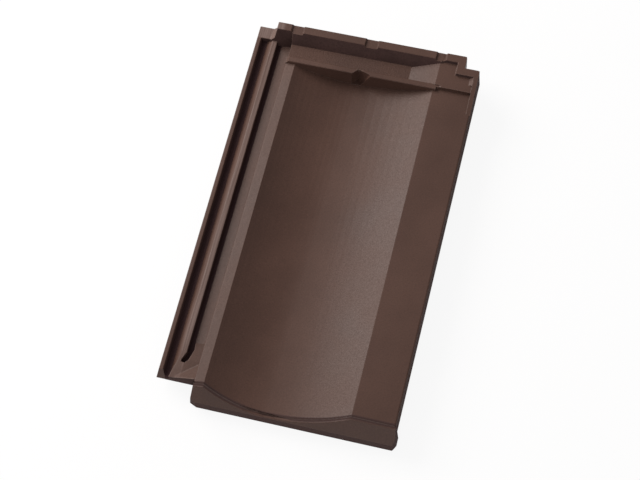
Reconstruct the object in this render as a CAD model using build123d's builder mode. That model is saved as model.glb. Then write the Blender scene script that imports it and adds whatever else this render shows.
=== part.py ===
"""Interlocking clay roof tile, pressed from one piece of clay and fired.

The tile lies on its foot edge and its two nibs, pan up, in millimetres with +Z up. Its foot
(the end that laps down the roof) points to -Y and its head to +Y. The origin is at the middle
of its footprint, on the floor. Places are given as distances from the left edge, from the foot
edge and from the floor.
"""

import os
from math import sqrt

from build123d import *

# Overall size
TILE_WIDTH = 271.5
TILE_LENGTH = 464.6
WALL = 12.0

# Heights above the floor
CREST_Z = 41.0
RIDGE_LEFT_Z = 39.2
PAN_LOW_Z = 21.0
LOCK_TOP_Z = 28.5
GROOVE_Z = 21.0
LEDGE_Z = 22.5
FLANGE_BOTTOM_Z = 14.5
FLAP_UNDER_Z = 29.5
FLAP_BOTTOM_Z = 23.5
INNER_RIB_Z = 45.0
PLATEAU_Z = 46.0
RIM_Z = 50.5
CHANNEL_Z = 35.5
HEAD_UNDER_Z = 23.0

# Side lock, from the left edge
LIP_LEFT = 3.0
LIP_RIGHT = 7.7
GROOVE_1_LEFT = 9.5
GROOVE_1_RIGHT = 15.0
RIB_LEFT = 22.0
RIB_RIGHT = 27.7
GROOVE_2_LEFT = 29.1
GROOVE_2_RIGHT = 32.6
LEDGE_RIGHT = 44.5

# Foot end of the side lock: (from the left edge, from the foot edge)
LIP_FOOT = 25.6
LOCK_END = 42.0
LOCK_END_RAMP = 65.0
RIB_FOOT_LEFT = ((22.5, 48.0), (18.3, 32.5), (16.3, 24.0), (15.5, 19.2), (22.5, 19.2))
GROOVE_2_END = (
    (29.1, 68.0),
    (32.6, 68.0),
    (34.6, 56.0),
    (31.9, 42.5),
    (28.6, 38.6),
    (24.6, 38.8),
    (24.0, 41.4),
    (28.2, 52.6),
)
FACET_LOW = (22.5, 21.8)
FACET_HEAD = (45.5, 40.0)

# Ridge band, pan, crest and cover flap, from the left edge
RIDGE_LEFT = 46.5
RIDGE_RIGHT = 57.9
PAN_LOW = 129.5
CREST = 220.8
FLAP_LEFT = 224.0
FLAP_RIGHT = 269.4
FLAP_SIDE = 270.6
FLAP_LIP_LEFT = 265.0
BODY_LEFT = 40.8

# Ribs under the cover flap: left root, left tip, right tip, right root, height of the tip
FLAP_RIBS = ((234.5, 237.3, 240.3, 243.0, 22.5), (254.6, 256.8, 259.2, 261.0, 23.0))

# Lengthwise places, from the foot edge
FLANGE_FOOT = 19.2
APRON_DEPTH = 16.0
GROOVE_HEAD = 449.0
RISER_BASE = 414.2
RISER_FOOT = 416.3
INNER_RIB_HEAD = 422.6
CHANNEL_FOOT = 425.0
CHANNEL_HEAD = 443.6
LOCK_WALL_BASE = 446.0
RIM_FOOT = 452.6
RIM_HEAD = 462.0
RIM_LEAN = 0.6
HEAD_LEAN = 1.6
PLATEAU_FOOT = 419.4
RAMP_FOOT = 421.8
SHOULDER_FOOT = 438.0
SHOULDER_HEAD = 447.0
SIDE_RIM_FOOT = 393.0
PAN_HEAD = 428.0

# Head, from the left edge
RIB_END_LEFT = 19.0
INNER_RIB_LEFT_LOW = 47.6
INNER_RIB_LEFT_TOP = 49.6
TAB_LEFT = 27.7
TAB_RIGHT = 251.9
RIM_INNER_RIGHT = 242.6
RAMP_LEFT = 190.0
RAMP_RIGHT = 222.6
PLATEAU_LEFT = 229.6
SIDE_RIM_LEFT = 264.4
NOTCHES = ((44.4, 59.4), (132.4, 148.4), (216.4, 228.4))
NOTCH_DEPTH = 2.5
NOTCH_SLOPE = 1.4
PLATEAU_SLOPE = 2.4
SIDE_FACET_FOOT = 428.0
SIDE_FACET_LEFT = 259.4

# Drain notch in the riser, at its top and at its bottom
DRAIN_TOP = ((125.6, 413.5), (125.6, 416.2), (132.4, 423.2), (147.0, 418.4), (150.0, 413.5))
DRAIN_LOW = ((125.0, 413.5), (125.0, 416.6), (131.4, 422.4), (134.4, 418.6), (136.0, 413.5))
DRAIN_FLOOR_Z = 21.3

# Rounding of the long edges and of the outer corners
LOCK_ROUND = 1.0
RIDGE_ROUND = 1.6
CREST_ROUND = 2.0
FLAP_ROUND = 2.5
RIM_ROUND = 1.2
CORNER_ROUND = 3.4

# Foot nose
NOSE_LEAN = 0.6
NOSE_LIP_Z = 17.8
STEP_DOWN = 2.0
STEP_BACK = 2.5
STEP_LOW_Z = 5.0
STEP_REACH = 40.0
CLIP_LEFT = 49.0
CLIP_LEFT_UP = 4.0
CLIP_RIGHT = 3.5
CLIP_RIGHT_UP = 8.0

# Nibs under the head
NIB_CENTRES = (88.0, 182.0)
NIB_WIDTH = 42.0
NIB_FOOT = 436.0
NIB_HEAD = 451.0

corner = (-TILE_WIDTH / 2, -TILE_LENGTH / 2, 0)
plan = Plane(origin=corner)


def cross_view(from_foot):
    """Plane of a cross-section at a distance from the foot edge, seen from the foot."""
    origin = (corner[0], corner[1] + from_foot, 0)
    return Plane(origin=origin, x_dir=(1, 0, 0), z_dir=(0, -1, 0))


def length_view(from_left):
    """Plane of a lengthwise section at a distance from the left edge, seen from the right."""
    origin = (corner[0] + from_left, corner[1], 0)
    return Plane(origin=origin, x_dir=(0, 1, 0), z_dir=(1, 0, 0))


def soften(section, places, radius):
    """Rounds the corners of a section at these places."""
    corners = [
        vertex
        for vertex in section.vertices()
        if any(abs(vertex.X - x) + abs(vertex.Y - y) < 0.01 for x, y in places)
    ]
    fillet(corners, radius)


def under_height(low_to_edge, from_low):
    """Height of the pan's underside, one wall below the arc of the pan."""
    depth = CREST_Z - PAN_LOW_Z
    radius = (low_to_edge**2 + depth**2) / (2 * depth)
    return PAN_LOW_Z + radius - sqrt((radius + WALL) ** 2 - from_low**2)


crease = Vector(FACET_HEAD[0] - FACET_LOW[0], FACET_HEAD[1] - FACET_LOW[1], 0)
climb = Vector(RIDGE_LEFT - FACET_LOW[0], FLANGE_FOOT - FACET_LOW[1], RIDGE_LEFT_Z - LOCK_TOP_Z)
facet_corner = (corner[0] + FACET_LOW[0], corner[1] + FACET_LOW[1], LOCK_TOP_Z)
facet_plane = Plane(origin=facet_corner, x_dir=crease, z_dir=climb.cross(crease))

UNDER_LEFT = RIDGE_RIGHT + 1.0
UNDER_RIGHT = CREST - 4.0
UNDER_LEFT_Z = under_height(PAN_LOW - RIDGE_RIGHT, PAN_LOW - UNDER_LEFT)
UNDER_RIGHT_Z = under_height(CREST - PAN_LOW, UNDER_RIGHT - PAN_LOW)


def pan_top(drop=0.0):
    """Ridge band, pan, crest and flap top from left to right, lowered by drop."""
    low = (PAN_LOW, PAN_LOW_Z - drop)
    Line((RIDGE_LEFT, RIDGE_LEFT_Z - drop), (RIDGE_RIGHT, CREST_Z - drop))
    TangentArc(low, (RIDGE_RIGHT, CREST_Z - drop), tangent=(-1, 0))
    TangentArc(low, (CREST, CREST_Z - drop), tangent=(1, 0))
    Line((CREST, CREST_Z - drop), (FLAP_RIGHT, CREST_Z - drop))


def flap_under():
    """Underside of the cover flap: two ribs and a lipped edge that go into the next tile's lock."""
    points = [(FLAP_LEFT, FLAP_UNDER_Z)]
    for root_left, tip_left, tip_right, root_right, tip_z in FLAP_RIBS:
        points += [(root_left, FLAP_UNDER_Z), (tip_left, tip_z)]
        points += [(tip_right, tip_z), (root_right, FLAP_UNDER_Z)]
    points += [(FLAP_LIP_LEFT - 1, FLAP_UNDER_Z), (FLAP_LIP_LEFT, FLAP_BOTTOM_Z)]
    points += [(FLAP_SIDE, FLAP_BOTTOM_Z)]
    Polyline(*points)


def pan_under():
    """Underside from the flange, up under the ridge, below the pan and out to the flap's side."""
    low = (PAN_LOW, PAN_LOW_Z - WALL)
    Line((LEDGE_RIGHT - 2, FLANGE_BOTTOM_Z), (UNDER_LEFT, UNDER_LEFT_Z))
    TangentArc(low, (UNDER_LEFT, UNDER_LEFT_Z), tangent=(-1, 0))
    TangentArc(low, (UNDER_RIGHT, UNDER_RIGHT_Z), tangent=(1, 0))
    Line((UNDER_RIGHT, UNDER_RIGHT_Z), (FLAP_LEFT, FLAP_UNDER_Z))
    flap_under()


with BuildPart() as step_tool:
    # Region above the lowered top, to be cut from the foot edge back to the step
    with BuildSketch(cross_view(-5)):
        with BuildLine():
            pan_top(STEP_DOWN)
            Polyline(
                (RIDGE_LEFT, RIDGE_LEFT_Z - STEP_DOWN),
                (RIDGE_LEFT - 10, RIDGE_LEFT_Z - STEP_DOWN),
                (RIDGE_LEFT - 10, RIM_Z),
                (TILE_WIDTH + 10, RIM_Z),
                (TILE_WIDTH + 10, CREST_Z - STEP_DOWN),
                (FLAP_RIGHT, CREST_Z - STEP_DOWN),
            )
        make_face()
    extrude(amount=-STEP_REACH)
    with BuildSketch(length_view(0)):
        edge_low = NOSE_LEAN * (STEP_LOW_Z - NOSE_LIP_Z) + STEP_BACK
        edge_high = NOSE_LEAN * (RIM_Z + 1 - NOSE_LIP_Z) + STEP_BACK
        with BuildLine():
            Polyline(
                (edge_low, STEP_LOW_Z),
                (edge_high, RIM_Z + 1),
                (STEP_REACH, RIM_Z + 1),
                (STEP_REACH, STEP_LOW_Z),
                (edge_low, STEP_LOW_Z),
            )
        make_face()
    extrude(amount=TILE_WIDTH + 30, mode=Mode.SUBTRACT)

with BuildPart() as rib_end:
    # Left end of the outer rib: it steps down to the lock's top in two slopes
    with BuildSketch(length_view(RIB_END_LEFT)):
        with BuildLine():
            Polyline(
                (LOCK_WALL_BASE, GROOVE_Z - 1),
                (RIM_FOOT, RIM_Z),
                (RIM_HEAD, RIM_Z),
                (TILE_LENGTH - 0.5, GROOVE_Z - 1),
                (LOCK_WALL_BASE, GROOVE_Z - 1),
            )
        make_face()
    extrude(amount=RIDGE_LEFT + 2 - RIB_END_LEFT)
    with BuildSketch(cross_view(LOCK_WALL_BASE - 5)):
        with BuildLine():
            Polyline(
                (RIB_END_LEFT, LOCK_TOP_Z),
                (TAB_LEFT - 3, LOCK_TOP_Z + 6),
                (TAB_LEFT, RIM_Z + 1),
                (RIB_END_LEFT - 1, RIM_Z + 1),
                (RIB_END_LEFT - 1, LOCK_TOP_Z),
                (RIB_END_LEFT, LOCK_TOP_Z),
            )
        make_face()
    extrude(amount=-30, mode=Mode.SUBTRACT)

with BuildPart() as foot_facet:
    # Wedge between the lock's flat foot end and the ridge band
    with BuildSketch(plan.offset(LOCK_TOP_Z - 1)):
        with BuildLine():
            Polyline(
                FACET_LOW,
                FACET_HEAD,
                (RIDGE_LEFT + 1, FACET_HEAD[1]),
                (RIDGE_LEFT + 1, FLANGE_FOOT),
                (FACET_LOW[0], FLANGE_FOOT),
                FACET_LOW,
            )
        make_face()
    extrude(amount=RIDGE_LEFT_Z - LOCK_TOP_Z + 1)
    with BuildSketch(facet_plane):
        Rectangle(TILE_WIDTH, TILE_WIDTH)
    extrude(amount=RIM_Z, mode=Mode.SUBTRACT)

with BuildPart() as roof_tile:
    # Side lock: lip, two grooves and the rib between them, up to the closed end at the head
    with BuildSketch(cross_view(FLANGE_FOOT)) as lock_section:
        with BuildLine():
            Polyline(
                (0, FLANGE_BOTTOM_Z),
                (LIP_LEFT, LOCK_TOP_Z),
                (LIP_RIGHT, LOCK_TOP_Z),
                (GROOVE_1_LEFT, GROOVE_Z),
                (GROOVE_1_RIGHT, GROOVE_Z),
                (RIB_LEFT, LOCK_TOP_Z),
                (RIB_RIGHT, LOCK_TOP_Z),
                (GROOVE_2_LEFT, GROOVE_Z),
                (GROOVE_2_RIGHT, GROOVE_Z),
                (LEDGE_RIGHT, LEDGE_Z),
                (RIDGE_LEFT + 1, LEDGE_Z),
                (RIDGE_LEFT + 1, FLANGE_BOTTOM_Z + 2),
                (LEDGE_RIGHT - 2, FLANGE_BOTTOM_Z),
                (0, FLANGE_BOTTOM_Z),
            )
        make_face()
        tops = [(x, LOCK_TOP_Z) for x in (LIP_LEFT, LIP_RIGHT, RIB_LEFT, RIB_RIGHT)]
        soften(lock_section, tops, LOCK_ROUND)
    extrude(amount=-(RIM_HEAD - FLANGE_FOOT))

    # The outer lip slopes down at its foot end
    with BuildSketch(length_view(-1)):
        with BuildLine():
            Polyline(
                (FLANGE_FOOT, FLANGE_BOTTOM_Z),
                (LIP_FOOT, LOCK_TOP_Z),
                (LIP_FOOT, LOCK_TOP_Z + 1),
                (FLANGE_FOOT - 1, LOCK_TOP_Z + 1),
                (FLANGE_FOOT - 1, FLANGE_BOTTOM_Z),
                (FLANGE_FOOT, FLANGE_BOTTOM_Z),
            )
        make_face()
    extrude(amount=GROOVE_1_LEFT + 1, mode=Mode.SUBTRACT)

    # The second groove closes before the foot, where the rib widens into a flat end
    with BuildSketch(length_view(RIB_RIGHT - 2)):
        with BuildLine():
            Polyline(
                (FLANGE_FOOT, GROOVE_Z - 1),
                (FLANGE_FOOT, LOCK_TOP_Z),
                (LOCK_END, LOCK_TOP_Z),
                (LOCK_END_RAMP, LEDGE_Z),
                (LOCK_END_RAMP, GROOVE_Z - 1),
                (FLANGE_FOOT, GROOVE_Z - 1),
            )
        make_face()
    extrude(amount=RIDGE_LEFT - RIB_RIGHT + 3)
    with BuildSketch(plan.offset(GROOVE_Z - 1)):
        with BuildLine():
            Polyline(*RIB_FOOT_LEFT, RIB_FOOT_LEFT[0])
        make_face()
    extrude(amount=LOCK_TOP_Z - GROOVE_Z + 1)
    with BuildSketch(plan.offset(GROOVE_Z)):
        with BuildLine():
            Polyline(*GROOVE_2_END, GROOVE_2_END[0])
        make_face()
    extrude(amount=LOCK_TOP_Z, mode=Mode.SUBTRACT)

    # Closed end of the side lock
    with BuildSketch(length_view(0)):
        with BuildLine():
            Polyline(
                (GROOVE_HEAD, FLANGE_BOTTOM_Z),
                (GROOVE_HEAD, LOCK_TOP_Z),
                (RIM_HEAD + HEAD_LEAN, LOCK_TOP_Z),
                (TILE_LENGTH, FLANGE_BOTTOM_Z),
                (GROOVE_HEAD, FLANGE_BOTTOM_Z),
            )
        make_face()
    extrude(amount=RIDGE_LEFT + 1)
    with BuildSketch(cross_view(GROOVE_HEAD - 1)):
        with BuildLine():
            Polyline(
                (0, FLANGE_BOTTOM_Z),
                (LIP_LEFT, LOCK_TOP_Z),
                (LIP_LEFT, LOCK_TOP_Z + 1),
                (-1, LOCK_TOP_Z + 1),
                (-1, FLANGE_BOTTOM_Z),
                (0, FLANGE_BOTTOM_Z),
            )
        make_face()
    extrude(amount=-(TILE_LENGTH - GROOVE_HEAD + 2), mode=Mode.SUBTRACT)

    # Facet at the foot that climbs from the lock's flat end to the ridge band
    add(foot_facet.part)

    # Ridge band, pan and cover flap, up to the riser at the head
    with BuildSketch(cross_view(APRON_DEPTH - 4)) as tile_section:
        with BuildLine():
            pan_top()
            pan_under()
            Polyline(
                (RIDGE_LEFT, RIDGE_LEFT_Z),
                (LEDGE_RIGHT, LEDGE_Z),
                (LEDGE_RIGHT - 2, FLANGE_BOTTOM_Z),
            )
            Line((FLAP_SIDE, FLAP_BOTTOM_Z), (FLAP_RIGHT, CREST_Z))
        make_face()
        soften(tile_section, [(RIDGE_LEFT, RIDGE_LEFT_Z)], RIDGE_ROUND)
        soften(tile_section, [(CREST, CREST_Z)], CREST_ROUND)
        soften(tile_section, [(FLAP_RIGHT, CREST_Z)], FLAP_ROUND)
    extrude(amount=-(INNER_RIB_HEAD - 2 - APRON_DEPTH + 4))

    # Head block: riser, inner rib, channel and the outer rib's sloped foot face
    with BuildSketch(length_view(RIDGE_LEFT)) as head_section:
        with BuildLine():
            Polyline(
                (RISER_BASE, 2),
                (RISER_FOOT, INNER_RIB_Z),
                (INNER_RIB_HEAD, INNER_RIB_Z),
                (CHANNEL_FOOT, CHANNEL_Z),
                (CHANNEL_HEAD, CHANNEL_Z),
                (RIM_FOOT, RIM_Z),
                (RIM_HEAD, RIM_Z),
                (RIM_HEAD + HEAD_LEAN + 0.4, HEAD_UNDER_Z),
                (PAN_HEAD, HEAD_UNDER_Z),
                (PAN_HEAD, 2),
                (RISER_BASE, 2),
            )
        make_face()
        tops = [(y, INNER_RIB_Z) for y in (RISER_FOOT, INNER_RIB_HEAD)]
        tops += [(y, RIM_Z) for y in (RIM_FOOT, RIM_HEAD)]
        soften(head_section, tops, RIM_ROUND)
    extrude(amount=FLAP_LEFT - RIDGE_LEFT)
    with BuildSketch(cross_view(RISER_BASE - 1)):
        with BuildLine():
            Polyline(
                (RIDGE_LEFT - 1, CREST_Z),
                (INNER_RIB_LEFT_LOW, CREST_Z),
                (INNER_RIB_LEFT_TOP, INNER_RIB_Z),
                (INNER_RIB_LEFT_TOP, INNER_RIB_Z + 1),
                (RIDGE_LEFT - 1, INNER_RIB_Z + 1),
                (RIDGE_LEFT - 1, CREST_Z),
            )
        make_face()
    extrude(amount=-(CHANNEL_FOOT - RISER_BASE + 1), mode=Mode.SUBTRACT)

    # The riser stands on the pan and nothing hangs below the pan's underside
    with BuildSketch(cross_view(RISER_BASE - 2)):
        with BuildLine():
            pan_under()
            Polyline(
                (LEDGE_RIGHT - 2, FLANGE_BOTTOM_Z),
                (LEDGE_RIGHT - 2, -1),
                (TILE_WIDTH + 1, -1),
                (TILE_WIDTH + 1, FLAP_BOTTOM_Z),
                (FLAP_SIDE, FLAP_BOTTOM_Z),
            )
        make_face()
    extrude(amount=-(PAN_HEAD - RISER_BASE + 2), mode=Mode.SUBTRACT)

    # Outer rib and plateau right of the ramp, raised off the next tile's side lock
    with BuildSketch(length_view(FLAP_LEFT - 1)):
        with BuildLine():
            Polyline(
                (PLATEAU_FOOT + 2, FLAP_UNDER_Z),
                (PLATEAU_FOOT + 2, INNER_RIB_Z),
                (RAMP_FOOT, INNER_RIB_Z),
                (RAMP_FOOT, PLATEAU_Z),
                (RIM_FOOT - RIM_LEAN, PLATEAU_Z),
                (RIM_FOOT, RIM_Z),
                (RIM_HEAD, RIM_Z),
                (RIM_HEAD + HEAD_LEAN, FLAP_UNDER_Z),
                (PLATEAU_FOOT + 2, FLAP_UNDER_Z),
            )
        make_face()
    extrude(amount=TAB_RIGHT - FLAP_LEFT + 1)

    # Ramp from the channel floor up to the plateau, right behind the inner rib
    with BuildSketch(cross_view(RAMP_FOOT)):
        with BuildLine():
            Polyline(
                (RAMP_LEFT, CHANNEL_Z),
                (RAMP_RIGHT, PLATEAU_Z),
                (FLAP_LEFT + 1, PLATEAU_Z),
                (FLAP_LEFT + 1, FLAP_UNDER_Z),
                (RAMP_LEFT, FLAP_UNDER_Z),
                (RAMP_LEFT, CHANNEL_Z),
            )
        make_face()
    extrude(amount=-(RIM_FOOT - RAMP_FOOT))

    # Shoulder of the cover flap, with the plateau on it
    with BuildSketch(cross_view(PLATEAU_FOOT)):
        with BuildLine():
            flap_under()
            Polyline(
                (FLAP_LEFT, FLAP_UNDER_Z),
                (FLAP_LEFT, INNER_RIB_Z),
                (PLATEAU_LEFT - PLATEAU_SLOPE, INNER_RIB_Z),
                (PLATEAU_LEFT, PLATEAU_Z),
                (FLAP_RIGHT, PLATEAU_Z),
                (FLAP_SIDE, FLAP_BOTTOM_Z),
            )
        make_face()
    extrude(amount=-(SHOULDER_HEAD - PLATEAU_FOOT))

    # Rim around the plateau: across the shoulder, and down the side until it fades out
    with BuildSketch(plan.offset(PLATEAU_Z - 1)):
        with BuildLine():
            Polyline(
                (RIM_INNER_RIGHT, RIM_FOOT + 2),
                (RIM_INNER_RIGHT, SHOULDER_FOOT),
                (FLAP_RIGHT, SHOULDER_FOOT),
                (FLAP_RIGHT, SHOULDER_HEAD),
                (TAB_RIGHT, SHOULDER_HEAD),
                (TAB_RIGHT, RIM_FOOT + 2),
                (RIM_INNER_RIGHT, RIM_FOOT + 2),
            )
        make_face()
    extrude(amount=RIM_Z - PLATEAU_Z + 1)
    with BuildSketch(length_view(SIDE_RIM_LEFT)):
        with BuildLine():
            Polyline(
                (SIDE_RIM_FOOT, CREST_Z - 1),
                (SIDE_RIM_FOOT, CREST_Z),
                (SHOULDER_FOOT, RIM_Z),
                (SHOULDER_FOOT + 2, RIM_Z),
                (SHOULDER_FOOT + 2, CREST_Z - 1),
                (SIDE_RIM_FOOT, CREST_Z - 1),
            )
        make_face()
    extrude(amount=FLAP_RIGHT - SIDE_RIM_LEFT)

    # Facet between the plateau and the side rim
    side_rise = (RIM_Z - CREST_Z) / (SHOULDER_FOOT - SIDE_RIM_FOOT)
    for from_foot, facet_left, facet_z in (
        (SIDE_FACET_FOOT, SIDE_FACET_LEFT + 1, CREST_Z + side_rise * (SIDE_FACET_FOOT - SIDE_RIM_FOOT)),
        (SHOULDER_FOOT + 1, SIDE_FACET_LEFT, RIM_Z),
    ):
        with BuildSketch(cross_view(from_foot)):
            with BuildLine():
                Polyline(
                    (facet_left, PLATEAU_Z),
                    (SIDE_RIM_LEFT + 0.2, facet_z),
                    (SIDE_RIM_LEFT + 0.2, PLATEAU_Z - 1),
                    (facet_left, PLATEAU_Z - 1),
                    (facet_left, PLATEAU_Z),
                )
            make_face()
    loft(ruled=True)

    # Drain notch that opens the riser at the lowest line of the pan
    with BuildSketch(plan.offset(DRAIN_FLOOR_Z)):
        with BuildLine():
            Polyline(*DRAIN_LOW, DRAIN_LOW[0])
        make_face()
    with BuildSketch(plan.offset(INNER_RIB_Z + 1)):
        with BuildLine():
            Polyline(*DRAIN_TOP, DRAIN_TOP[0])
        make_face()
    loft(ruled=True, mode=Mode.SUBTRACT)

    # Left end of the outer rib, over the closed end of the side lock
    add(rib_end.part)

    # Shallow notches across the outer rib
    for notch_left, notch_right in NOTCHES:
        with BuildSketch(cross_view(LOCK_WALL_BASE)):
            with BuildLine():
                Polyline(
                    (notch_left, RIM_Z),
                    (notch_left + NOTCH_SLOPE, RIM_Z - NOTCH_DEPTH),
                    (notch_right - NOTCH_SLOPE, RIM_Z - NOTCH_DEPTH),
                    (notch_right, RIM_Z),
                    (notch_right, RIM_Z + 1),
                    (notch_left, RIM_Z + 1),
                    (notch_left, RIM_Z),
                )
            make_face()
        extrude(amount=-(TILE_LENGTH - LOCK_WALL_BASE + 1), mode=Mode.SUBTRACT)

    # Nibs that hook over the batten
    for nib_centre in NIB_CENTRES:
        with BuildSketch(length_view(nib_centre)):
            with BuildLine():
                Polyline(
                    (NIB_FOOT, 0),
                    (NIB_FOOT, HEAD_UNDER_Z + 1),
                    (NIB_HEAD + 5, HEAD_UNDER_Z + 1),
                    (NIB_HEAD, 0),
                    (NIB_FOOT, 0),
                )
            make_face()
        extrude(amount=NIB_WIDTH / 2, both=True)

    # Foot apron: the same top, solid down to the floor
    with BuildSketch(cross_view(0)) as foot_section:
        with BuildLine():
            pan_top()
            Polyline(
                (RIDGE_LEFT, RIDGE_LEFT_Z),
                (BODY_LEFT, 0),
                (TILE_WIDTH, 0),
                (FLAP_RIGHT, CREST_Z),
            )
        make_face()
        soften(foot_section, [(RIDGE_LEFT, RIDGE_LEFT_Z)], RIDGE_ROUND)
        soften(foot_section, [(CREST, CREST_Z)], CREST_ROUND)
        soften(foot_section, [(FLAP_RIGHT, CREST_Z)], FLAP_ROUND)
    extrude(amount=-APRON_DEPTH)

    # Nose: the foot face leans back above a short upright lip, and a step runs along its top
    with BuildSketch(length_view(0)):
        lean_top = NOSE_LEAN * (RIM_Z - NOSE_LIP_Z)
        with BuildLine():
            Polyline(
                (0, NOSE_LIP_Z), (lean_top, RIM_Z), (-5, RIM_Z), (-5, NOSE_LIP_Z), (0, NOSE_LIP_Z)
            )
        make_face()
    extrude(amount=TILE_WIDTH + 5, mode=Mode.SUBTRACT)
    add(step_tool.part, mode=Mode.SUBTRACT)

    # Rounded outer corners: the side lock's closed end, the outer rib's end and the shoulder
    for from_left, from_foot, inward in (
        (0, TILE_LENGTH, 1),
        (TAB_RIGHT, RIM_HEAD + 1, -1),
        (FLAP_SIDE, SHOULDER_HEAD, -1),
    ):
        with BuildSketch(plan.offset(FLANGE_BOTTOM_Z - 1)):
            with BuildLine():
                start = (from_left, from_foot - CORNER_ROUND)
                end = (from_left + inward * CORNER_ROUND, from_foot)
                RadiusArc(start, end, CORNER_ROUND * inward)
                Polyline(
                    end,
                    (from_left + inward * CORNER_ROUND, from_foot + 2),
                    (from_left - inward * 2, from_foot + 2),
                    (from_left - inward * 2, from_foot - CORNER_ROUND),
                    start,
                )
            make_face()
        extrude(amount=RIM_Z, mode=Mode.SUBTRACT)

    # Clipped corners of the foot
    for edge_x, side_x, side_y in (
        (CLIP_LEFT, BODY_LEFT - 1, CLIP_LEFT_UP),
        (TILE_WIDTH - CLIP_RIGHT, TILE_WIDTH + 1, CLIP_RIGHT_UP),
    ):
        with BuildSketch(plan):
            with BuildLine():
                Polyline((edge_x, -1), (edge_x, 0), (side_x, side_y), (side_x, -1), (edge_x, -1))
            make_face()
        extrude(amount=RIM_Z, mode=Mode.SUBTRACT)

roof_tile.part.label = "roof_tile"
os.makedirs("parts", exist_ok=True)
export_step(roof_tile.part, "parts/roof_tile.step")
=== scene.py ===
"""Interlocking clay roof tile with a satin brown engobe, lying on a pale floor.

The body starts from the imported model: its faces are merged and its pressed edges rounded. Its engobe
changes in tone, sheen and grain over the surface, as on fired clay.
"""

import math

import bmesh
import bpy
from bpy.props import FloatProperty, FloatVectorProperty, IntProperty, PointerProperty
from mathutils import Matrix, Vector


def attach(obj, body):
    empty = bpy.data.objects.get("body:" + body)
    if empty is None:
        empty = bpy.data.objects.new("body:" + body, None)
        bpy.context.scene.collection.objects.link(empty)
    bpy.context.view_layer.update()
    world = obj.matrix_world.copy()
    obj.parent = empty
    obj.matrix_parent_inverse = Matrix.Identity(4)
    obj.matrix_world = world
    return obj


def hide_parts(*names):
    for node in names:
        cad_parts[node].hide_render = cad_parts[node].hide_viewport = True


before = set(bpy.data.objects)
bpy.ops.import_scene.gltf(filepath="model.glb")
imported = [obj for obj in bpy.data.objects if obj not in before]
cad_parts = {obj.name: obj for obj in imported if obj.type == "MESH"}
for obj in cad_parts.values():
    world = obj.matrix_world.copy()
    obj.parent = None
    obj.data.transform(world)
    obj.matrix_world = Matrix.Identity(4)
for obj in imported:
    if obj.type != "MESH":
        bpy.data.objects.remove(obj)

bl_info = {
    "name": "Clay roof tile",
    "version": (1, 0, 0),
    "blender": (4, 5, 0),
    "location": "View3D > Sidebar > Roof tile",
    "description": "Builds an interlocking clay roof tile and the stage it is shown on",
    "category": "Add Mesh",
}

NODE = "roof_tile"

# Places on the tile, in metres: x runs across it, y up the roof and z up from the floor
FOOT_Y = -0.2323
STEP_SETBACK = 0.0025
STEP_BASE_Z = 0.0178
STEP_LEAN = 0.6
STEP_TOP_Z = 0.0205
RISER_Y = (0.1805, 0.1925)
RAMP_X = (0.053, 0.0885)
RAMP_Y = (0.185, 0.221)
CHANNEL_Y = (0.186, 0.214)
CHANNEL_FLOOR_Z = (0.034, 0.0365)
SIDE_FACE_X = 0.130
FOOT_FACE_Y = -0.205
HEAD_FACE_Y = 0.227
HEAD_RIB_Y = 0.205
LOCK_RIGHT_X = -0.1025
LOCK_GROOVE_Z = (0.0205, 0.0265)
LOCK_GROOVE_END_Y = 0.2195

# Each pair is where the rubbed streaks and painted sheen on the lock's rib begin, and where they are at
# their full strength
RUB_FROM_LEFT_X = (-0.1215, -0.1165)
RUB_FROM_RIGHT_X = (-0.1068, -0.1085)
RUB_FROM_FOOT_Y = (-0.207, -0.165)
RUB_FROM_HEAD_Y = (0.15, -0.15)
RUB_FROM_BELOW_Z = (0.0215, 0.0282)
CLOSED_END_FROM_Y = (0.2155, 0.2180)
CLOSED_END_FROM_X = (-0.0975, -0.1015)
STREAKS_PER_METRE = (900.0, 14.0, 500.0)

# Painted shade in the grooves: none at the first height, full one depth below it; the last number is its
# share on the rounded step of the nose
PAINTED_SHADE_TOP_Z = 0.0285
PAINTED_SHADE_DEPTH = 0.0055
STEP_PAINTED_SHADE = 0.55

# Parts of a face normal that tell level, steep and turned faces apart
LEVEL_UP = 0.9
FACING_DOWN = -0.2
STEEP_UP = 0.33
RIB_FACE_UP = 0.7
RIB_FACE_ALONG = -0.5
GROOVE_WALL_ACROSS = -0.3

# Work on the mesh: distances in metres, and the room that a rounding needs in times its radius
DOUBLES_APART = 2e-6
FLAT_ANGLE = math.radians(0.4)
CREASE_ANGLE = math.radians(8)
ON_LINE = 0.0002
ROUNDING_ROOM = 2.3
STEP_SEGMENTS = 3
FLAT_WEIGHT = 50

# Finish of the engobe: patterns are counted per metre, depths in metres
CLOUDS_PER_METRE = 14.0
MATTE_CLOUDS_PER_METRE = 30.0
WAVES_PER_METRE = 22.0
WAVE_DEPTH = 0.0006
WEAR_REACH = 0.0016
WEAR_FROM_OPENNESS = (0.74, 0.5)
WEAR_SAMPLES = 8
SOFT_EDGE_SAMPLES = 6
SPECKLES_PER_GRAIN = 0.55
BLOTCHES_PER_GRAIN = 0.2
CRUMBS_PER_GRAIN = 0.9
GRIT_PER_GRAIN = 0.4
SPECKLE_HEIGHT = 0.55
BLOTCH_HEIGHT = 0.6
CRUMB_HEIGHT = 3.0
RAW_FLOOR_ROUGHNESS = 0.18
MATTE_ROUGHNESS = (0.72, 0.86)
ENGOBE_SPECULAR = 0.24
MATTE_SPECULAR = 0.08

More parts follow.
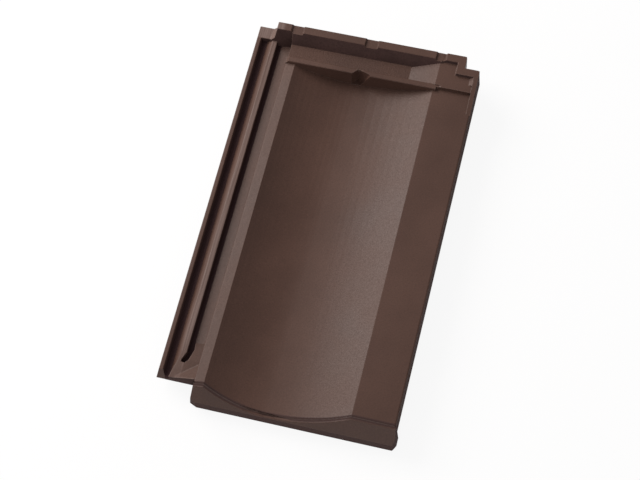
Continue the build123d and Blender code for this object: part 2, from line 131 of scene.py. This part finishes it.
# Floor, lamps and camera
FLOOR_DROP = 0.0002
FLOOR_GREY = (0.5, 0.5, 0.5, 1.0)
FLOOR_ROUGHNESS = 0.9
FLOOR_GLOW = 1.1
FLOOR_GLOW_SHARE = 0.82
LAMP_SIZE = 1.4
LAMP_TARGET = Vector((0.0, 0.0, 0.03))
KEY_DISTANCE = 2.2
KEY_PLACE = KEY_DISTANCE * Vector((-0.70, 0.36, 0.61)).normalized()
KEY_COLOR = (1.0, 0.95, 0.92)
FILL_PLACE = Vector((0.25, -2.3, 0.75))
FILL_COLOR = (0.97, 0.98, 1.0)
ROOM_COLOR = (1.0, 0.97, 1.0, 1.0)
SENSOR_WIDTH_MM = 36.0
CAMERA_NEAR = 0.05
CAMERA_PLACE = (0.27279, -0.73817, 1.77537)
CAMERA_TURN = (
    (0.9695, -0.1998, 0.1420),
    (0.2395, 0.8951, -0.3760),
    (-0.0520, 0.3985, 0.9157),
)


class RoofTileSettings(bpy.types.PropertyGroup):
    """Shape and finish of the tile."""

    edge_radius: FloatProperty(
        name="Edge radius",
        description="Radius of the rounding that pressing and engobe leave on the edges",
        default=0.0007,
        min=0.0,
        subtype="DISTANCE",
        unit="LENGTH",
    )
    step_radius: FloatProperty(
        name="Step radius",
        description="Radius of the rounding along the step of the foot's nose",
        default=0.0018,
        min=0.0,
        subtype="DISTANCE",
        unit="LENGTH",
    )
    edge_segments: IntProperty(
        name="Edge segments",
        description="Faces across each rounded edge",
        default=2,
        min=1,
        max=6,
    )
    edge_angle: FloatProperty(
        name="Edge angle",
        description="Edges that turn by at least this are rounded",
        default=math.radians(25),
        subtype="ANGLE",
        unit="ROTATION",
    )
    grain_size: FloatProperty(
        name="Grain size",
        description="Size of the grains that show through the engobe",
        default=0.0009,
        subtype="DISTANCE",
        unit="LENGTH",
    )
    grain_depth: FloatProperty(
        name="Grain depth",
        description="Depth of the grain in the bump",
        default=0.00012,
        subtype="DISTANCE",
        unit="LENGTH",
    )
    engobe_color: FloatVectorProperty(
        name="Engobe",
        description="Colour of the engobe where it is thick",
        default=(0.077, 0.040, 0.029),
        size=3,
        min=0.0,
        max=1.0,
        subtype="COLOR",
    )
    worn_color: FloatVectorProperty(
        name="Worn edge",
        description="Colour of the edges, where the engobe is thin over the clay",
        default=(0.150, 0.098, 0.080),
        size=3,
        min=0.0,
        max=1.0,
        subtype="COLOR",
    )
    # Sandy wear, and a painted sheen on the rib's lit left slope and top
    sand_and_sheen_color: FloatVectorProperty(
        name="Sandy wear and painted sheen",
        description="Colour of the rubbed streaks on the lock's rib",
        default=(0.170, 0.118, 0.102),
        size=3,
        min=0.0,
        max=1.0,
        subtype="COLOR",
    )
    # Painted shade: a dark colour laid into the lock's grooves and on the rounded step of the nose, where
    # shade falls
    painted_shade_color: FloatVectorProperty(
        name="Painted groove shade",
        description="Painted shade in the lock's grooves and on the nose's step",
        default=(0.040, 0.021, 0.021),
        size=3,
        min=0.0,
        max=1.0,
        subtype="COLOR",
    )
    matte_color: FloatVectorProperty(
        name="Matte engobe",
        description="Colour of the sides and the underside",
        default=(0.070, 0.040, 0.035),
        size=3,
        min=0.0,
        max=1.0,
        subtype="COLOR",
    )
    sheen_roughness: FloatProperty(
        name="Roughness",
        description="Roughness of the satin engobe",
        default=0.46,
        min=0.0,
        max=1.0,
        subtype="FACTOR",
    )


class StageSettings(bpy.types.PropertyGroup):
    """Floor, lamps and camera."""

    floor_size: FloatProperty(
        name="Floor size",
        description="Side of the square floor",
        default=12.0,
        subtype="DISTANCE",
        unit="LENGTH",
    )
    key_power: FloatProperty(
        name="Key lamp",
        description="Power of the large lamp on the head side, to the left",
        default=58.0,
        min=0.0,
        unit="POWER",
    )
    fill_power: FloatProperty(
        name="Fill lamp",
        description="Power of the weak lamp beyond the foot",
        default=10.5,
        min=0.0,
        unit="POWER",
    )
    room_level: FloatProperty(
        name="Room light",
        description="Level of the even light from all round",
        default=0.38,
        min=0.0,
    )
    lens: FloatProperty(
        name="Lens",
        description="Focal length of the camera, in millimetres",
        default=96.2,
        min=1.0,
        subtype="DISTANCE_CAMERA",
        unit="CAMERA",
    )


class Nodes:
    """Short calls that add and join shader nodes in one material."""

    def __init__(self, tree):
        self.tree = tree

    def add(self, kind, **properties):
        """A new node with its properties set."""
        node = self.tree.nodes.new(kind)
        for name, value in properties.items():
            setattr(node, name, value)
        return node

    def join(self, output, target):
        """Links one socket to another."""
        self.tree.links.new(output, target)

    def attribute(self, name):
        """A value that the mesh carries."""
        return self.add("ShaderNodeAttribute", attribute_name=name).outputs["Fac"]

    def noise(self, place, scale, detail, roughness):
        """Noise over the object's own coordinates, as one value."""
        node = self.add("ShaderNodeTexNoise")
        node.inputs["Scale"].default_value = scale
        node.inputs["Detail"].default_value = detail
        node.inputs["Roughness"].default_value = roughness
        self.join(place, node.inputs["Vector"])
        return node.outputs["Fac"]

    def span(self, value, low, high, to_low=0.0, to_high=1.0):
        """Maps a value from one span to another, held at its ends."""
        node = self.add("ShaderNodeMapRange")
        node.inputs["From Min"].default_value = low
        node.inputs["From Max"].default_value = high
        node.inputs["To Min"].default_value = to_low
        node.inputs["To Max"].default_value = to_high
        self.join(value, node.inputs["Value"])
        return node.outputs["Result"]

    def combine(self, operation, *values):
        """Joins values or numbers by one operation, from left to right."""
        result = values[0]
        for value in values[1:]:
            node = self.add("ShaderNodeMath", operation=operation)
            for socket, term in zip(node.inputs, (result, value)):
                if isinstance(term, bpy.types.NodeSocket):
                    self.join(term, socket)
                else:
                    socket.default_value = term
            result = node.outputs["Value"]
        return result

    def mix(self, factor, first, second):
        """Mixes two colours, each a socket or three numbers."""
        node = self.add("ShaderNodeMix", data_type="RGBA")
        sockets = [socket for socket in node.inputs if socket.enabled]
        self.join(factor, sockets[0])
        for socket, value in zip(sockets[1:], (first, second)):
            if isinstance(value, bpy.types.NodeSocket):
                self.join(value, socket)
            else:
                socket.default_value = (*value, 1.0)
        return next(socket for socket in node.outputs if socket.enabled)

    def wear(self):
        """High on outward edges, found by how little clay lies just inside the surface."""
        inside = self.add("ShaderNodeAmbientOcclusion", samples=WEAR_SAMPLES, inside=True, only_local=True)
        inside.inputs["Distance"].default_value = WEAR_REACH
        return self.span(inside.outputs["AO"], *WEAR_FROM_OPENNESS)

    def soft_edges(self, radius):
        """Normal that is rounded over every edge."""
        bevel = self.add("ShaderNodeBevel", samples=SOFT_EDGE_SAMPLES)
        bevel.inputs["Radius"].default_value = radius
        return bevel.outputs["Normal"]

    def bump(self, height, depth, strength, normal):
        """Normal that follows a height, over another normal."""
        node = self.add("ShaderNodeBump")
        node.inputs["Distance"].default_value = depth
        node.inputs["Strength"].default_value = strength
        self.join(height, node.inputs["Height"])
        self.join(normal, node.inputs["Normal"])
        return node.outputs["Normal"]


def new_surface(name):
    """A new material, its shader, the calls for its nodes, and the object's own coordinates."""
    material = bpy.data.materials.new(name)
    material.use_nodes = True
    nodes = Nodes(material.node_tree)
    shader = material.node_tree.nodes["Principled BSDF"]
    place = nodes.add("ShaderNodeTexCoord").outputs["Object"]
    return material, shader, nodes, place


def scaled(color, factor):
    """A colour made lighter or darker."""
    return tuple(min(1.0, channel * factor) for channel in color)


def rubbed_rib_and_sheen(nodes, place):
    """High in streaks along the lock's rib and on its closed end, where the next tile's flap rubs; on the
    rib's left slope and top it is also a painted sheen.
    """
    axes = nodes.add("ShaderNodeSeparateXYZ")
    nodes.join(place, axes.inputs["Vector"])
    across = axes.outputs["X"]
    along = axes.outputs["Y"]
    up = axes.outputs["Z"]
    on_rib = nodes.combine(
        "MULTIPLY",
        nodes.span(across, *RUB_FROM_LEFT_X),
        nodes.span(across, *RUB_FROM_RIGHT_X),
        nodes.span(along, *RUB_FROM_FOOT_Y, 0.25, 1.0),
        nodes.span(along, *RUB_FROM_HEAD_Y, 0.65, 1.0),
    )
    on_end = nodes.combine(
        "MULTIPLY",
        nodes.span(along, *CLOSED_END_FROM_Y),
        nodes.span(across, *CLOSED_END_FROM_X),
    )
    stretch = nodes.add("ShaderNodeMapping")
    stretch.inputs["Scale"].default_value = STREAKS_PER_METRE
    nodes.join(place, stretch.inputs["Vector"])
    streaks = nodes.noise(stretch.outputs["Vector"], 1.0, 3.0, 0.6)
    return nodes.combine(
        "MULTIPLY",
        nodes.combine("MAXIMUM", on_rib, on_end),
        nodes.span(up, *RUB_FROM_BELOW_Z, 0.1, 1.0),
        nodes.span(streaks, 0.36, 0.62, 0.35, 1.0),
    )


def engobe_tone(nodes, settings, place, cloud, speckle, blotch):
    """Colour of the engobe: cloudy and speckled, pale where it is worn, sandy with a painted sheen on the
    lock's rib, and dark with painted shade in the grooves.
    """
    engobe = tuple(settings.engobe_color)
    tone = nodes.mix(nodes.span(cloud, 0.35, 0.65), scaled(engobe, 0.9), scaled(engobe, 1.1))
    tone = nodes.mix(nodes.span(speckle, 0.5, 0.75, 0.0, 0.55), tone, scaled(engobe, 0.62))
    tone = nodes.mix(nodes.span(speckle, 0.42, 0.25, 0.0, 0.45), tone, scaled(engobe, 1.5))
    worn = nodes.combine("MULTIPLY", nodes.wear(), nodes.span(blotch, 0.3, 0.62, 0.45, 1.0))
    tone = nodes.mix(worn, tone, tuple(settings.worn_color))
    # Sandy streaks on the lock's rib, partly a painted sheen on its lit slope
    tone = nodes.mix(rubbed_rib_and_sheen(nodes, place), tone, tuple(settings.sand_and_sheen_color))
    # Painted shade in the lock's grooves and on the nose's step
    return nodes.mix(nodes.attribute("painted_groove_shade"), tone, tuple(settings.painted_shade_color))


def engobe_material(settings):
    """Satin brown engobe with a fine grain, coarse on the floor of the head channel."""
    material, shader, nodes, place = new_surface("Brown engobe")
    cloud = nodes.noise(place, CLOUDS_PER_METRE, 4.0, 0.5)
    speckle = nodes.noise(place, SPECKLES_PER_GRAIN / settings.grain_size, 3.0, 0.6)
    blotch = nodes.noise(place, BLOTCHES_PER_GRAIN / settings.grain_size, 2.0, 0.5)
    rough_floor = nodes.attribute("raw_floor")

    tone = engobe_tone(nodes, settings, place, cloud, speckle, blotch)
    nodes.join(tone, shader.inputs["Base Color"])
    shader.inputs["Specular IOR Level"].default_value = ENGOBE_SPECULAR
    satin = nodes.combine(
        "ADD",
        nodes.span(cloud, 0.3, 0.7, settings.sheen_roughness - 0.04, settings.sheen_roughness + 0.04),
        nodes.span(speckle, 0.3, 0.7, -0.04, 0.06),
        nodes.combine("MULTIPLY", rough_floor, RAW_FLOOR_ROUGHNESS),
    )
    nodes.join(satin, shader.inputs["Roughness"])

    crumbs = nodes.add("ShaderNodeTexVoronoi")
    crumbs.inputs["Scale"].default_value = CRUMBS_PER_GRAIN / settings.grain_size
    nodes.join(place, crumbs.inputs["Vector"])
    height = nodes.combine(
        "ADD",
        nodes.combine("MULTIPLY", speckle, SPECKLE_HEIGHT),
        nodes.combine("MULTIPLY", blotch, BLOTCH_HEIGHT),
        nodes.combine("MULTIPLY", crumbs.outputs["Distance"], rough_floor, CRUMB_HEIGHT),
    )
    normal = nodes.bump(height, settings.grain_depth, 0.8, nodes.soft_edges(settings.edge_radius))
    waves = nodes.noise(place, WAVES_PER_METRE, 2.0, 0.4)
    normal = nodes.bump(waves, WAVE_DEPTH, 0.5, normal)
    nodes.join(normal, shader.inputs["Normal"])
    return material


def matte_material(settings):
    """Thin matte engobe on the sides, the underside and in the grooves, where the clay drew it in."""
    material, shader, nodes, place = new_surface("Matte engobe")
    matte = tuple(settings.matte_color)
    cloud = nodes.noise(place, MATTE_CLOUDS_PER_METRE, 4.0, 0.6)
    grit = nodes.noise(place, GRIT_PER_GRAIN / settings.grain_size, 3.0, 0.6)

    tone = nodes.mix(nodes.span(cloud, 0.3, 0.7), scaled(matte, 0.8), scaled(matte, 1.15))
    tone = nodes.mix(nodes.span(grit, 0.45, 0.7, 0.0, 0.5), tone, scaled(matte, 0.6))
    tone = nodes.mix(nodes.combine("MULTIPLY", nodes.wear(), 0.7), tone, tuple(settings.worn_color))
    # Painted shade in the lock's grooves
    tone = nodes.mix(nodes.attribute("painted_groove_shade"), tone, tuple(settings.painted_shade_color))
    nodes.join(tone, shader.inputs["Base Color"])
    shader.inputs["Specular IOR Level"].default_value = MATTE_SPECULAR
    nodes.join(nodes.span(cloud, 0.3, 0.7, *MATTE_ROUGHNESS), shader.inputs["Roughness"])

    normal = nodes.bump(grit, settings.grain_depth, 0.9, nodes.soft_edges(settings.edge_radius))
    nodes.join(normal, shader.inputs["Normal"])
    return material


def within(value, span):
    """Whether a value lies between the two ends of a span."""
    low, high = span
    return low < value < high


def merged_mesh(node):
    """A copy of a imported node's mesh with its doubled points merged and its flat faces whole."""
    mesh = bpy.data.meshes.new("Tile_body")
    shape = bmesh.new()
    shape.from_mesh(node.data)
    bmesh.ops.remove_doubles(shape, verts=shape.verts, dist=DOUBLES_APART)
    bmesh.ops.dissolve_limit(
        shape,
        angle_limit=FLAT_ANGLE,
        use_dissolve_boundaries=False,
        verts=shape.verts,
        edges=shape.edges,
        delimit={"NORMAL"},
    )
    shape.to_mesh(mesh)
    shape.free()
    return mesh


def sharp_edges(shape, settings):
    """The edges between two faces that turn by at least the edge angle."""
    closed = [edge for edge in shape.edges if len(edge.link_faces) == 2]
    return [edge for edge in closed if edge.calc_face_angle(0.0) >= settings.edge_angle]


def rounded(shape, edges, radius, segments):
    """Rounds edges at their full radius and gives back the new faces."""
    made = bmesh.ops.bevel(
        shape,
        geom=edges,
        affect="EDGES",
        offset=radius,
        offset_type="OFFSET",
        segments=segments,
        profile=0.5,
        material=-1,
        clamp_overlap=False,
        loop_slide=True,
    )
    return made["faces"]


def on_step(point):
    """Whether a point lies high on the leaning step of the foot's nose."""
    step_y = FOOT_Y + STEP_SETBACK + STEP_LEAN * (point.z - STEP_BASE_Z)
    return abs(point.y - step_y) < ON_LINE and point.z > STEP_TOP_Z


def soften_step(shape, settings):
    """Rounds the upper edge of the step along the foot's nose, wider than the others, and paints shade on
    the rounding.
    """
    edges = [
        edge
        for edge in sharp_edges(shape, settings)
        if all(on_step(vert.co) for vert in edge.verts)
    ]
    painted_shade_layer = shape.loops.layers.float["painted_groove_shade"]
    # The rounded step gets painted shade
    for face in rounded(shape, edges, settings.step_radius, STEP_SEGMENTS):
        for loop in face.loops:
            loop[painted_shade_layer] = STEP_PAINTED_SHADE


def has_room(edge, settings):
    """Whether a rounding fits on an edge: not on the riser or the ramp, nor beside a short edge."""
    points = [vert.co for vert in edge.verts]
    on_riser = all(within(point.y, RISER_Y) for point in points)
    on_ramp = all(within(point.x, RAMP_X) and within(point.y, RAMP_Y) for point in points)
    beside = {other for vert in edge.verts for other in vert.link_edges} - {edge}
    shortest = min(other.calc_length() for other in beside)
    return not on_riser and not on_ramp and shortest > ROUNDING_ROOM * settings.edge_radius


def round_edges(shape, settings):
    """Rounds the sharp edges that have room for it."""
    edges = [edge for edge in sharp_edges(shape, settings) if has_room(edge, settings)]
    rounded(shape, edges, settings.edge_radius, settings.edge_segments)


def mark_raw_floor(shape):
    """Marks the floor of the head channel, which the press leaves rough."""
    layer = shape.loops.layers.float.new("raw_floor")
    for face in shape.faces:
        middle = face.calc_center_median()
        in_channel = within(middle.y, CHANNEL_Y) and within(middle.z, CHANNEL_FLOOR_Z)
        rough = in_channel and face.normal.z > LEVEL_UP
        for loop in face.loops:
            loop[layer] = float(rough)


def paint_groove_shade(shape):
    """Marks painted shade in the side lock's grooves, more the deeper a point lies."""
    layer = shape.loops.layers.float["painted_groove_shade"]
    for face in shape.faces:
        middle = face.calc_center_median()
        in_lock = middle.x < LOCK_RIGHT_X and abs(middle.y) < LOCK_GROOVE_END_Y
        in_groove = in_lock and within(middle.z, LOCK_GROOVE_Z)
        if not in_groove or face.normal.z < FACING_DOWN or face.normal.x < GROOVE_WALL_ACROSS:
            continue
        for loop in face.loops:
            depth = PAINTED_SHADE_TOP_Z - loop.vert.co.z
            loop[layer] = min(1.0, max(0.0, depth / PAINTED_SHADE_DEPTH))


def mark_matte_faces(shape):
    """Gives the underside, the outer sides, the head rib's face and the grooves the matte material."""
    lock_top = LOCK_GROOVE_Z[1]
    for face in shape.faces:
        middle = face.calc_center_median()
        across, along, up = face.normal
        past_edge = abs(middle.x) > SIDE_FACE_X or middle.y < FOOT_FACE_Y or middle.y > HEAD_FACE_Y
        on_side = past_edge and up < STEEP_UP
        on_rib_face = middle.y > HEAD_RIB_Y and along < RIB_FACE_ALONG and up < RIB_FACE_UP
        in_groove = middle.x < LOCK_RIGHT_X and middle.z < lock_top and across > GROOVE_WALL_ACROSS
        if up < FACING_DOWN or on_side or on_rib_face or in_groove:
            face.material_index = 1


class TILE_OT_body(bpy.types.Operator):
    """Builds the tile's body with rounded edges and its engobe"""

    bl_idname = "roof_tile.body"
    bl_label = "Tile body"

    def execute(self, context):
        settings = context.scene.roof_tile
        node = bpy.data.objects.get(NODE)
        if node is None:
            raise RuntimeError("the packed model has no roof_tile node")
        mesh = merged_mesh(node)
        shape = bmesh.new()
        shape.from_mesh(mesh)
        # Layer for the painted shade in the grooves and on the step
        shape.loops.layers.float.new("painted_groove_shade")
        soften_step(shape, settings)
        round_edges(shape, settings)
        bmesh.ops.recalc_face_normals(shape, faces=shape.faces)
        mark_raw_floor(shape)
        paint_groove_shade(shape)
        mark_matte_faces(shape)
        many_sided = [face for face in shape.faces if len(face.verts) > 4]
        bmesh.ops.triangulate(shape, faces=many_sided)
        shape.to_mesh(mesh)
        shape.free()
        mesh.shade_smooth()
        mesh.set_sharp_from_angle(angle=CREASE_ANGLE)
        body = bpy.data.objects.new("Tile_body", mesh)
        flats = body.modifiers.new("Flat faces keep their shade", "WEIGHTED_NORMAL")
        flats.mode = "FACE_AREA"
        flats.weight = FLAT_WEIGHT
        flats.keep_sharp = True
        context.scene.collection.objects.link(body)
        mesh.materials.append(engobe_material(settings))
        mesh.materials.append(matte_material(settings))
        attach(body, "root")
        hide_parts(NODE)
        return {"FINISHED"}


def floor_material():
    """Pale plain floor that takes the shadow."""
    material = bpy.data.materials.new("Pale floor")
    material.use_nodes = True
    nodes = Nodes(material.node_tree)
    shader = material.node_tree.nodes["Principled BSDF"]
    shader.inputs["Base Color"].default_value = FLOOR_GREY
    shader.inputs["Roughness"].default_value = FLOOR_ROUGHNESS
    rays = nodes.add("ShaderNodeLightPath").outputs
    seen = nodes.combine(
        "MAXIMUM",
        rays["Is Camera Ray"],
        rays["Is Glossy Ray"],
        rays["Is Transmission Ray"],
    )
    glow = nodes.add("ShaderNodeEmission")
    glow.inputs["Strength"].default_value = FLOOR_GLOW
    blend = nodes.add("ShaderNodeMixShader")
    share, shaded, lit = blend.inputs
    nodes.join(nodes.combine("MULTIPLY", seen, FLOOR_GLOW_SHARE), share)
    nodes.join(shader.outputs["BSDF"], shaded)
    nodes.join(glow.outputs["Emission"], lit)
    nodes.join(blend.outputs["Shader"], material.node_tree.nodes["Material Output"].inputs["Surface"])
    return material


def add_floor(scene, settings):
    """The square floor, just under the tile."""
    shape = bmesh.new()
    bmesh.ops.create_grid(shape, x_segments=1, y_segments=1, size=settings.floor_size / 2)
    mesh = bpy.data.meshes.new("Floor")
    shape.to_mesh(mesh)
    shape.free()
    mesh.materials.append(floor_material())
    floor = bpy.data.objects.new("Floor", mesh)
    floor.location.z = -FLOOR_DROP
    scene.collection.objects.link(floor)


def add_lamp(scene, name, place, power, color):
    """A square lamp turned to the tile."""
    lamp = bpy.data.lights.new(name, "AREA")
    lamp.shape = "SQUARE"
    lamp.size = LAMP_SIZE
    lamp.energy = power
    lamp.color = color
    holder = bpy.data.objects.new(name, lamp)
    holder.location = place
    holder.rotation_euler = (LAMP_TARGET - place).to_track_quat("-Z", "Y").to_euler()
    scene.collection.objects.link(holder)


def add_room_light(scene, settings):
    """The even light from all round."""
    world = bpy.data.worlds.new("Room")
    world.use_nodes = True
    background = world.node_tree.nodes["Background"]
    background.inputs["Color"].default_value = ROOM_COLOR
    background.inputs["Strength"].default_value = settings.room_level
    scene.world = world


def add_camera(scene, settings):
    """The camera, placed and turned as fitted to the tile's edges."""
    lens = bpy.data.cameras.new("Camera")
    lens.lens = settings.lens
    lens.sensor_width = SENSOR_WIDTH_MM
    lens.clip_start = CAMERA_NEAR
    camera = bpy.data.objects.new("Camera", lens)
    camera.matrix_world = Matrix.Translation(CAMERA_PLACE) @ Matrix(CAMERA_TURN).to_4x4()
    scene.collection.objects.link(camera)
    scene.camera = camera


class TILE_OT_stage(bpy.types.Operator):
    """Adds the floor, the lamps, the even light and the camera"""

    bl_idname = "roof_tile.stage"
    bl_label = "Stage"

    def execute(self, context):
        scene = context.scene
        settings = scene.tile_stage
        add_floor(scene, settings)
        add_lamp(scene, "Key", KEY_PLACE, settings.key_power, KEY_COLOR)
        add_lamp(scene, "Fill", FILL_PLACE, settings.fill_power, FILL_COLOR)
        add_room_light(scene, settings)
        add_camera(scene, settings)
        scene.view_settings.view_transform = "Standard"
        return {"FINISHED"}


class TILE_PT_panel(bpy.types.Panel):
    """Sidebar panel with the tile's settings and its two operators"""

    bl_label = "Roof tile"
    bl_idname = "TILE_PT_panel"
    bl_space_type = "VIEW_3D"
    bl_region_type = "UI"
    bl_category = "Roof tile"

    def draw(self, context):
        layout = self.layout
        for group in (context.scene.roof_tile, context.scene.tile_stage):
            column = layout.column(align=True)
            for name in group.__annotations__:
                column.prop(group, name)
        layout.operator(TILE_OT_body.bl_idname)
        layout.operator(TILE_OT_stage.bl_idname)


CLASSES = (RoofTileSettings, StageSettings, TILE_OT_body, TILE_OT_stage, TILE_PT_panel)


def register():
    for item in CLASSES:
        bpy.utils.register_class(item)
    bpy.types.Scene.roof_tile = PointerProperty(type=RoofTileSettings)
    bpy.types.Scene.tile_stage = PointerProperty(type=StageSettings)


def unregister():
    del bpy.types.Scene.tile_stage
    del bpy.types.Scene.roof_tile
    for item in reversed(CLASSES):
        bpy.utils.unregister_class(item)


def main():
    """Builds the tile and its stage."""
    register()
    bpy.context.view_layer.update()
    bpy.ops.roof_tile.body()
    bpy.ops.roof_tile.stage()


if __name__ == "__main__":
    main()
